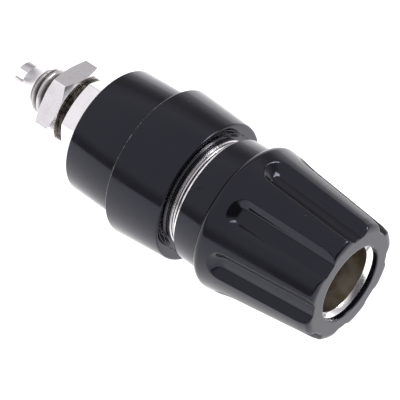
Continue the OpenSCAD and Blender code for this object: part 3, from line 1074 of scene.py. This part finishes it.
@dataclass
class Knob:
    """The fluted knob, its brass insert and the clamp washer that travels with it."""

    plastic: bpy.types.Material
    insert_material: bpy.types.Material
    washer_material: bpy.types.Material
    shell: Span = field(default_factory=lambda: Span.of("knob_shell"))
    insert: Span = field(default_factory=lambda: Span.of("knob_insert"))
    washer: Span = field(default_factory=lambda: Span.of("clamp_washer"))
    skirt_len: float = 2.85
    skirt_r: float = 6.5
    draft: float = math.radians(6.6)
    crest_x: float = 0.85
    shoulder_r: float = 0.85
    front_edge: float = 0.7
    hole_r: float = 3.92
    core_r: float = 4.905
    neck_len: float = 2.3
    flutes: int = 8
    flute_angle: float = math.radians(36.2)
    flute_start: float = 2.0
    flute_half: float = 1.55
    flute_end_power: float = 2.3
    flute_wall: float = 0.82
    flute_end_wall: float = 0.9
    flute_depth: float = 0.87
    flute_fall: float = 0.12
    face_edge: float = 0.07
    hole_edge: float = 0.1
    scallop_round: float = 0.25
    sleeve_r: float = 3.5
    rear_boss_r: float = 4.2
    insert_r: float = 4.9
    ring_r: float = 3.915
    ring_chamfer: float = 0.55
    thread_r: float = 3.26
    thread_x: tuple[float, float] = (9.37, 14.17)
    clamp_bore_r: float = 4.27
    seat: float = 0.005
    column_runs: tuple[tuple[float, float, int], ...] = (
        (0, 0.64, 4), (0.64, 0.98, 9), (0.98, 1.36, 4), (1.36, 1.68, 9))
    land_columns: int = 6
    end_rows: int = 52
    grip_rows: int = 26
    edge_rows: int = 13
    face_rows: int = 9
    ring_columns: int = 160

    def surface_r(self, x: np.ndarray | float) -> np.ndarray | float:
        """Radius of the grip's cone before the flutes are cut."""
        grip_x = self.shell.x0 + self.skirt_len
        return self.shell.r - (x - grip_x - self.crest_x) * math.tan(self.draft)

    def flute_cut(self, x: np.ndarray, w: np.ndarray) -> np.ndarray:
        """Depth of a flute at x along the axis and w round the surface from its middle.

        Ahead of the end's centre the distance inside the rim is half - |w|. Behind it that
        distance is half - (|x - centre| ^ p + |w| ^ p) ^ (1 / p), a rounded end. Over the
        wall's width, which grows with cos squared towards the very end, the distance is
        carried from 0 at the rim to 1 at the floor, with soft ends, and times the depth,
        which falls towards the front.

        Args:
            x: places along the axis, in mm.
            w: distances round the surface, in mm.

        Returns:
            The depth at every place, in mm.
        """
        start = self.shell.x0 + self.skirt_len + self.flute_start
        p = self.flute_end_power
        back = np.maximum(start + self.flute_half - x, 0)
        across = np.abs(w)
        inside = self.flute_half - (back ** p + across ** p) ** (1 / p)
        lean = back ** 2 / (back ** 2 + across ** 2 + 1e-9)
        wall = self.flute_wall + (self.flute_end_wall - self.flute_wall) * lean
        share = soft_min(soft_max(inside / wall, 0, 0.1), 1, 0.22 + 0.25 * lean)
        depth = self.flute_depth - self.flute_fall * (x - start) / (self.shell.x1 - start)
        return depth * share

    def columns_at(self, radius: np.ndarray) -> np.ndarray:
        """Distances round the surface of one flute's columns.

        They run from one land's middle over the flute to the next land's middle, close together
        at the rim and spread over the land by the sector's width.

        Args:
            radius: the surface's radius at every row, in mm.

        Returns:
            A row of distances from the flute's middle for every radius, in mm.
        """
        near = np.concatenate([np.linspace(a, b, n, endpoint=False) for a, b, n in self.column_runs])
        land = np.linspace(0, 1, self.land_columns)[None, :]
        width = np.atleast_1d(radius)[:, None] * np.pi / self.flutes
        rim = self.column_runs[-1][1]
        far = rim + (width - rim) * land
        half = np.concatenate([np.broadcast_to(near, (len(width), len(near))), far], 1)
        return np.concatenate([-half[:, :0:-1], half[:, :-1]], 1)

    def shell_grid(self) -> np.ndarray:
        """The grip and skirt as one closed grid.

        Its rows run from the rear face over the shoulder, along the flutes, round the front
        edge, over the face and back along the insert.

        Returns:
            The grid of points.
        """
        x0, face = self.shell.x0, self.shell.x1
        grip_x = x0 + self.skirt_len
        top = self.surface_r(grip_x + 0.31)
        rear = fillet([(x0, self.core_r, 0), (x0, self.skirt_r - 0.03, 0.2),
                       (grip_x, self.skirt_r + 0.06, 0.08), (grip_x + 0.308, top, self.shoulder_r),
                       (grip_x + 3, self.surface_r(grip_x + 3), 0)], closed=False, steps=9)[:-1]
        first = rear[-1, 0]
        edge = self.front_edge
        last = face - edge + edge * math.sin(self.draft)
        dense = grip_x + self.flute_start + np.array([-0.35, 1.9])
        x = np.concatenate([np.linspace(first, dense[0], 5)[1:-1], np.linspace(*dense, self.end_rows),
                            np.linspace(dense[1], last, self.grip_rows)[1:-1]])[:, None]
        w = self.columns_at(self.surface_r(x[:, 0]))
        cone = ring_points(x, self.surface_r(x) - self.all_flutes(self.flute_cut(x, w)),
                           self.angles(w, self.surface_r(x)))
        end_r = np.array([[self.surface_r(last)]])
        w_end = self.columns_at(end_r[0])
        angle = self.angles(w_end, end_r)
        t = np.linspace(self.draft, np.pi / 2, self.edge_rows)[:, None]
        x_front = face - edge + edge * np.sin(t)
        land = end_r - edge * math.cos(self.draft) + edge * np.cos(t)
        floor = self.surface_r(x_front) - self.flute_cut(x_front, w_end)
        lip = self.face_edge
        near = np.clip((x_front - face) / lip + 1, 0, 1)
        rim = self.all_flutes(soft_min(floor, land, self.scallop_round)) - lip * (1 - np.sqrt(1 - near ** 2))
        front = ring_points(x_front, rim, angle)
        v = np.linspace(1, 0, self.face_rows)[1:-1, None]
        hole = self.hole_edge
        flat_r = self.hole_r + hole + (rim[-1:] - self.hole_r - hole) * v
        flat = ring_points(np.full_like(flat_r, face), flat_r, np.broadcast_to(angle, flat_r.shape))
        ring_x = self.insert.x1
        back = fillet([(face, self.hole_r + 0.5, 0), (face, self.hole_r, hole),
                       (ring_x - self.neck_len, self.hole_r, 0), (ring_x - self.neck_len, self.core_r, 0),
                       (x0 + 0.3, self.core_r, 0)], closed=False, steps=4)[1:]
        behind = ring_points(back[:, :1], back[:, 1:], angle)
        rear_angle = self.angles(w[:1], self.surface_r(x[:1]))
        skirt = ring_points(rear[:, :1], rear[:, 1:], rear_angle)
        return np.concatenate([skirt, cone, front, flat, behind])

    def angles(self, w: np.ndarray, radius: np.ndarray) -> np.ndarray:
        """Angles round the axis of every column, flute by flute: middle + w / radius."""
        middles = self.flute_angle + np.arange(self.flutes) * 2 * np.pi / self.flutes
        return (middles[None, :, None] + (w / radius)[:, None, :]).reshape(len(w), -1)

    def all_flutes(self, grid: np.ndarray) -> np.ndarray:
        """One flute's columns repeated for all the flutes."""
        return np.tile(grid, (1, self.flutes))

    def build(self) -> None:
        """Makes the shell, the insert and the clamp washer."""
        piece = mesh_of("grip_fluted", self.shell_grid(), loop=True, crease=40)
        Piece("knob", "knob_shell", Slot.PLASTIC, self.plastic).dress(piece)
        x0, x1 = self.insert.x0, self.insert.x1
        neck = x1 - self.neck_len + 0.01
        skirt = self.shell.x0 + self.seat
        thread_x0, thread_x1 = self.thread_x
        outline = fillet([
            (x0, self.sleeve_r, 0.1), (x0, self.rear_boss_r, 0.1), (skirt, self.rear_boss_r, 0),
            (skirt, self.insert_r, 0.05), (neck, self.insert_r, 0), (neck, self.ring_r, 0),
            (x1, self.ring_r, 0.05), (x1 - self.ring_chamfer, self.sleeve_r, 0.06),
            (thread_x1, self.sleeve_r, 0.05), (thread_x1, self.thread_r, 0.05),
            (thread_x0, self.thread_r, 0.05), (thread_x0, self.sleeve_r, 0)], steps=4)
        piece = mesh_of("insert_threaded", turned(outline, self.ring_columns), loop=True)
        Piece("knob", "knob_insert", Slot.NICKEL, self.insert_material).dress(piece)
        at = self.washer
        front = at.x1 - self.seat
        outline = fillet([(at.x0, self.clamp_bore_r, 0.03), (at.x0, at.r, 0.09), (front, at.r, 0.09),
                          (front, self.clamp_bore_r, 0.03)])
        piece = mesh_of("washer_clamp", turned(outline, self.ring_columns), loop=True)
        Piece("clamp_ring", "clamp_washer", Slot.NICKEL, self.washer_material).dress(piece)


# ---------------------------------------------------------------- the studio


@dataclass(frozen=True)
class Lamp:
    """A soft rectangular lamp that the camera itself doesn't see."""

    name: str
    place: tuple[float, float, float]
    aim: tuple[float, float, float]
    size: tuple[float, float]
    watts: float
    colour: tuple[float, float, float] = (1, 1, 1)
    spread: float = math.pi

    def make(self) -> bpy.types.Object:
        """Adds the lamp, turned from its place towards its aim.

        Returns:
            The lamp's object.
        """
        light = bpy.data.lights.new(self.name, "AREA")
        light.shape = "RECTANGLE"
        light.size, light.size_y = (s * MM for s in self.size)
        light.energy = self.watts
        light.color = self.colour
        light.spread = self.spread
        lamp = bpy.data.objects.new(self.name, light)
        lamp.location = Vector(self.place) * MM
        lamp.rotation_mode = "QUATERNION"
        lamp.rotation_quaternion = (Vector(self.aim) - Vector(self.place)).to_track_quat("-Z", "Y")
        lamp.visible_camera = False
        bpy.context.scene.collection.objects.link(lamp)
        return lamp


@dataclass
class Studio:
    """The camera, the floor, the lamp and the sky."""

    floor_material: bpy.types.Material
    azimuth: float = math.radians(41.46)
    elevation: float = math.radians(46.93)
    distance: float = 210.8
    aim: tuple[float, float, float] = (6.375, -1.495, 0.395)
    lens: float = 203.3
    sensor: float = 36.0
    floor_half: float = 900.0
    floor_thick: float = 3.98
    floor_gap: float = 0.02
    sky_tint: tuple[float, float, float] = (1.0, 0.985, 1.02)
    sky_strength: float = 1.27
    sky_left: tuple[tuple[float, float], ...] = ((0.0, 0.28), (0.14, 0.32), (0.32, 0.68), (1.0, 0.7))
    sky_right: tuple[tuple[float, float], ...] = (
        (0.0, 0.85), (0.17, 0.6), (0.36, 0.30), (0.52, 0.30), (0.75, 0.66))
    side_blend: float = 0.3
    wall_side: tuple[float, float, float] = (0.94, -0.25, 0.24)
    wall_level: float = 0.08
    wall_fade: tuple[float, float] = (0.78, 0.92)
    lamps: tuple[Lamp, ...] = (
        Lamp("key", (110, 130, 165), (5, 0, 0), (95, 95), 0.28),
    )

    def light_sky(self) -> None:
        """Adds the sky.

        Its grey level is read from the direction's height, by one ramp on the -Y side and
        another on the +Y side, with a smooth step of y between them. A dark wall stands
        where the direction lies close to wall_side.
        """
        world = bpy.data.worlds.new("sky")
        world.use_nodes = True
        g = Graph(world.node_tree)
        way = g.add("TexCoord").outputs["Generated"]
        split = g.add("SeparateXYZ")
        g.put(split.inputs[0], way)
        side = g.span(split.outputs[1], -self.side_blend, self.side_blend, 0, 1)
        level = g.mix(side, g.ramp(split.outputs[2], self.sky_left), g.ramp(split.outputs[2], self.sky_right))
        dot = g.add("VectorMath", operation="DOT_PRODUCT")
        g.put(dot.inputs[0], way)
        g.put(dot.inputs[1], self.wall_side)
        dark = (self.wall_level,) * 3 + (1,)
        level = g.mix(g.span(dot.outputs["Value"], *self.wall_fade, 0, 1), level, dark)
        tint = g.add("Mix", data_type="RGBA", blend_type="MULTIPLY")
        g.put(tint.inputs["Factor"], 1.0)
        g.put(tint.inputs[6], level)
        g.put(tint.inputs[7], (*self.sky_tint, 1))
        background = world.node_tree.nodes["Background"]
        background.inputs["Strength"].default_value = self.sky_strength
        g.put(background.inputs["Color"], tint.outputs[2])
        bpy.context.scene.world = world

    def build(self) -> None:
        """Adds everything that isn't part of the object."""
        a, e = self.azimuth, self.elevation
        back = Vector((math.sin(a) * math.cos(e), -math.cos(a) * math.cos(e), math.sin(e)))
        lens = bpy.data.cameras.new("camera")
        lens.lens, lens.sensor_width = self.lens, self.sensor
        lens.clip_start, lens.clip_end = 1 * MM, 5000 * MM
        camera = bpy.data.objects.new("camera", lens)
        camera.location = (Vector(self.aim) + back * self.distance) * MM
        camera.rotation_mode = "QUATERNION"
        camera.rotation_quaternion = (-back).to_track_quat("-Z", "Y")
        bpy.context.scene.collection.objects.link(camera)
        bpy.context.scene.camera = camera
        h = self.floor_half
        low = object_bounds()[0].z / MM
        top = low - self.floor_gap
        floor = box_mesh("floor", (-h, -h, top - self.floor_thick), (h, h, top))
        floor.data.materials.append(self.floor_material)
        floor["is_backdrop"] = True
        for lamp in self.lamps:
            lamp.make()
        self.light_sky()
        bpy.context.scene.view_settings.view_transform = "Standard"


def main() -> None:
    """Builds the post piece by piece and logs each one."""
    logging.basicConfig(level=logging.INFO, format="%(name)s: %(message)s")
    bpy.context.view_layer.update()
    effects = Effects()
    # root_r and root_x lay painted shade into the stud's thread roots and plug socket.
    plate = Plating("nickel_plate", colour=(0.70, 0.685, 0.70, 1), root_r=2.12, root_x=-15.3).make(effects)
    washer_plate = Plating("nickel_washer").make(effects)
    nut_plate = Plating("nickel_nut", marks_scale=3.0, marks_depth=0.0004, gloss=(0.2, 0.28)).make(effects)
    bright = Plating("nickel_bright", tarnish_share=0.1, gloss=(0.12, 0.22)).make(effects)
    # Painted shade: the clamp washer's heavy dark brown mottling, far more than tarnish, stands in for the
    # shade in the gap between the front bush's flange and the knob.
    shaded_lined_plate = Plating("nickel_lined_shaded", tarnish=(0.2, 0.165, 0.13, 1), tarnish_share=0.7, marks_scale=14.0,
                    marks_depth=0.006, gloss=(0.12, 0.2)).make(effects)
    bored = Plating("nickel_bored", tarnish_share=0.1, gloss=(0.14, 0.24), bore_r=3.505).make(effects)
    steel = OiledSteel("oiled_steel").make(effects)
    # The edge where the two bushes meet gets a painted highlight.
    bush_plastic = MouldedPlastic("moulded_bush", seam_glint_x=0.06, seam_glint_width=0.09).make(effects)
    knob_plastic = MouldedPlastic("moulded_knob", nick=(8.33, -3.87, 5.25)).make(effects)
    Stud(plate, bright).build()
    Bushes(bush_plastic).build()
    RearHardware(washer_plate, nut_plate, steel).build()
    Knob(knob_plastic, bored, shaded_lined_plate).build()
    Studio(PaleFloor("pale_floor").make(effects)).build()


if __name__ == "__main__":
    main()
